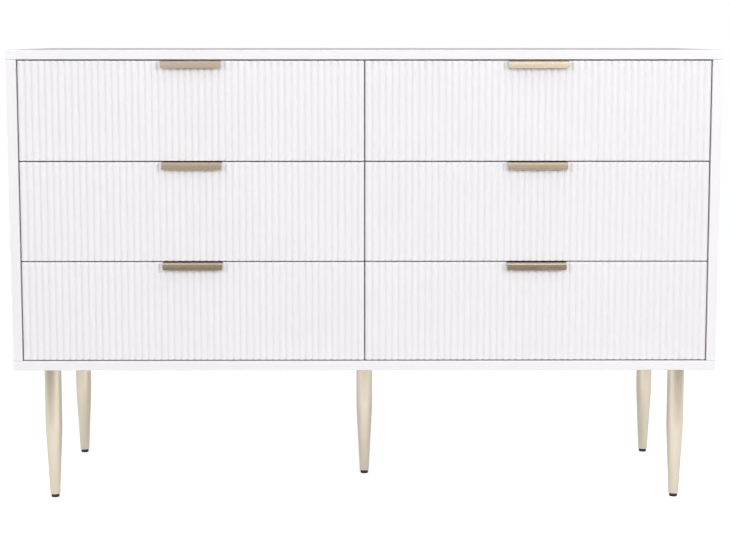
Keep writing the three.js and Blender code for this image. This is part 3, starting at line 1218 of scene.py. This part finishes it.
def boxBoards(low, high, values):
    wall, gap = values["wall"], values["gap"]
    tuck = wall - values["groove"]
    floorZ = low.z + values["floorLift"]
    floorLow = Vector((low.x + tuck + gap, low.y + gap, floorZ + gap))
    floorHigh = Vector((high.x - tuck - gap, high.y - tuck - gap, floorZ + values["floor"] - gap))
    spare = Vector((1, 1, 1)) * 2 * gap
    backLow = Vector((low.x + wall + gap, high.y - wall, low.z))
    spans = {
        "boxSideLeft": (low, Vector((low.x + wall, high.y, high.z))),
        "boxSideRight": (Vector((high.x - wall, low.y, low.z)), high),
        "boxBack": (backLow, Vector((high.x - wall - gap, high.y, high.z))),
    }
    boards = {}
    for name, span in spans.items():
        groove = boxMesh(floorLow - spare, floorHigh + spare)
        boards[name] = carved(boardMesh(*span, values["rounding"], values["rim"]), [groove])
    edges = values["floorRounding"], values["floorRim"]
    boards["boxFloor"] = boardMesh(floorLow, floorHigh, *edges, 2)
    return boards


def boxFixings(low, high, values):
    inset = values["fixingFromEnd"]
    cams, screws = [], []
    for x, way in ((low.x, 1), (high.x, -1)):
        for z in (low.z + inset, high.z - inset):
            inner = x + way * values["wall"]
            cams.append(facing((way, 0, 0), (inner, low.y + values["camFromFront"], z)))
            screws.append(facing((-way, 0, 0), (x, high.y - values["wall"] / 2, z)))
    return gathered(camMesh, cams, sharpAngle), gathered(headMesh, screws, sharpAngle)


def floorTwoSided(mesh):  # the second material is the bare underside
    for face in mesh.polygons:
        face.material_index = 1 if face.normal.z < -0.5 else 0


def makeDrawerBoxes(values):
    baseName = "drawer_box_bottom_left"
    low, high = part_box(baseName)
    boards = boxBoards(low, high, values)
    fixings = boxFixings(low, high, values)
    for drawer in drawerNames:
        name, body = f"drawer_box_{drawer}", f"drawer_{drawer}"
        move = offsetBetween(name, baseName)
        for boardName, base in boards.items():
            mesh = movedCopy(base, move)
            finishes = [melamine, rawBoard] if boardName == "boxFloor" else [melamine]
            addBoard(f"{boardName}_{drawer}", mesh, finishes, body, "inner_board", name)
            if boardName == "boxFloor":
                floorTwoSided(mesh)
        cams, screws = [movedCopy(mesh, move) for mesh in fixings]
        addPiece(f"boxCams_{drawer}", cams, [zincSteel], body, "runner_steel")
        addPiece(f"boxScrews_{drawer}", screws, [nickelSteel], body, "runner_steel")


makeDrawerBoxes(boxValues)
print("drawer boxes made")


# runners

runnerValues = {
    "steel": 0.0012,
    "bend": 0.0006,  # inner radius
    "cabinetLip": 0.0025,
    "slotLength": 0.012,
    "slotWidth": 0.0045,
    "slotStart": -0.002,
    "slotDepth": 0.005,
    "slotSegments": 24,
    "slotShares": (0.33, 0.6, 0.87),  # along the runner
    "screwShares": (0.4, 0.67, 0.94),
    "drawerScrewShares": (0.1, 0.46, 0.82),
    "slotAhead": 0.1,  # of each drawer screw
    "sharpAngle": 40,
    "cageSteel": 0.0006,
    "cageLength": 0.088,
    "cageStart": 0.003,
    "cageWeb": 0.002,  # its middle, from the carcass wall
    "cageReach": 0.008,
    "ballRadius": 0.0019,
    "ballCentre": (0.0052, 0.01415),
    "balls": 8,
    "ballStep": 0.01,
}


def channelMesh(corners, thickness, bend, start, length):
    pairs = foldedSection(corners, thickness, [bend] * (len(corners) - 2), 3)
    half = length / 2
    stations = [(pair, (-half, half)) for pair in pairs]
    centre = start + half
    return foldedMesh(stations, lambda point, along: (point[0], centre + along, point[1]))


def channelCorners(depth, height, thickness, lip=0):
    web, reach = thickness / 2, height / 2 - thickness / 2
    if not lip:
        return [(depth, -reach), (web, -reach), (web, reach), (depth, reach)]
    side = depth - thickness / 2
    end = height / 2 - thickness - lip
    return [(side, -end), (side, -reach), (web, -reach), (web, reach), (side, reach), (side, end)]


def slotCutter(values, middle):
    length, width = values["slotLength"] / 2, values["slotWidth"] / 2
    outline = []
    for step in range(values["slotSegments"]):
        angle = 2 * math.pi * (step + 0.5) / values["slotSegments"]
        along = width * math.sin(angle) + math.copysign(length - width, math.sin(angle))
        outline.append((values["slotStart"], middle + along, width * math.cos(angle)))
    return extruded(outline, (values["slotDepth"], 0, 0))


def ballMesh(radius):
    bm = bmesh.new()
    bmesh.ops.create_icosphere(bm, subdivisions=2, radius=radius)
    return meshFrom(bm)


# The meshes lie along Y from 0, with the carcass wall, or the drawer's side, at x 0.
def runnerMeshes(values, cabinetSize, drawerSize):
    steel, bend, angle = values["steel"], values["bend"], values["sharpAngle"]
    length, drawerShares = cabinetSize.y, values["drawerScrewShares"]
    drawerSlots = [share + values["slotAhead"] for share in drawerShares]
    channels = []
    kinds = [(cabinetSize, values["cabinetLip"], values["slotShares"]), (drawerSize, 0, drawerSlots)]
    for size, lip, shares in kinds:
        mesh = channelMesh(channelCorners(size.x, size.z, steel, lip), steel, bend, 0, length)
        channels.append(carved(mesh, [slotCutter(values, share * length) for share in shares]))
    across, up = values["ballCentre"]
    web, reach = values["cageWeb"], values["cageReach"]
    corners = [(reach, -up), (web, -up), (web, up), (reach, up)]
    start, cageLength = values["cageStart"], values["cageLength"]
    cage = channelMesh(corners, values["cageSteel"], bend, start, cageLength)
    for mesh in (*channels, cage):
        shade(mesh, angle)
    first = start + (cageLength - values["ballStep"] * (values["balls"] - 1)) / 2
    places = []
    for side in (-1, 1):
        for ball in range(values["balls"]):
            along = first + values["ballStep"] * ball
            places.append(Matrix.Translation((across, along, side * up)))
    balls = gathered(ballMesh(values["ballRadius"]), places, 180)
    screws = []
    for shares in (values["screwShares"], drawerShares):
        spots = [facing((1, 0, 0), (steel, share * length, 0)) for share in shares]
        screws.append(gathered(headMesh, spots, angle))
    return {
        "cabinetRunner": (channels[0], zincSteel),
        "runnerCage": (cage, nickelSteel),
        "runnerBalls": (balls, nickelSteel),
        "cabinetRunnerScrews": (screws[0], nickelSteel),
        "drawerRunner": (channels[1], zincSteel),
        "drawerRunnerScrews": (screws[1], nickelSteel),
    }


def makeRunners(values):
    boxes = [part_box(f"{kind}_runner_bottom_left_l") for kind in ("cabinet", "drawer")]
    meshes = runnerMeshes(values, *[high - low for low, high in boxes])
    flip = Matrix.Scale(-1, 4, (1, 0, 0))
    for name in [f"{drawer}_{hand}" for drawer in drawerNames for hand in "lr"]:
        for part, (base, metal) in meshes.items():
            kind = "drawer" if part.startswith("drawer") else "cabinet"
            node = f"{kind}_runner_{name}"
            low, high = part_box(node)
            mirrored = name.endswith("r") == (kind == "cabinet")
            start = Vector((high.x if mirrored else low.x, low.y, (low.z + high.z) / 2))
            move = Matrix.Translation(start) @ (flip if mirrored else Matrix())
            body = f"drawer_{name[:-2]}" if kind == "drawer" else "carcass"
            nodes = [node] if part.endswith("Runner") else []
            mesh = movedCopy(base, move)
            addPiece(f"{part}_{name}", mesh, [metal], body, "runner_steel", *nodes)


makeRunners(runnerValues)
print("runners made")
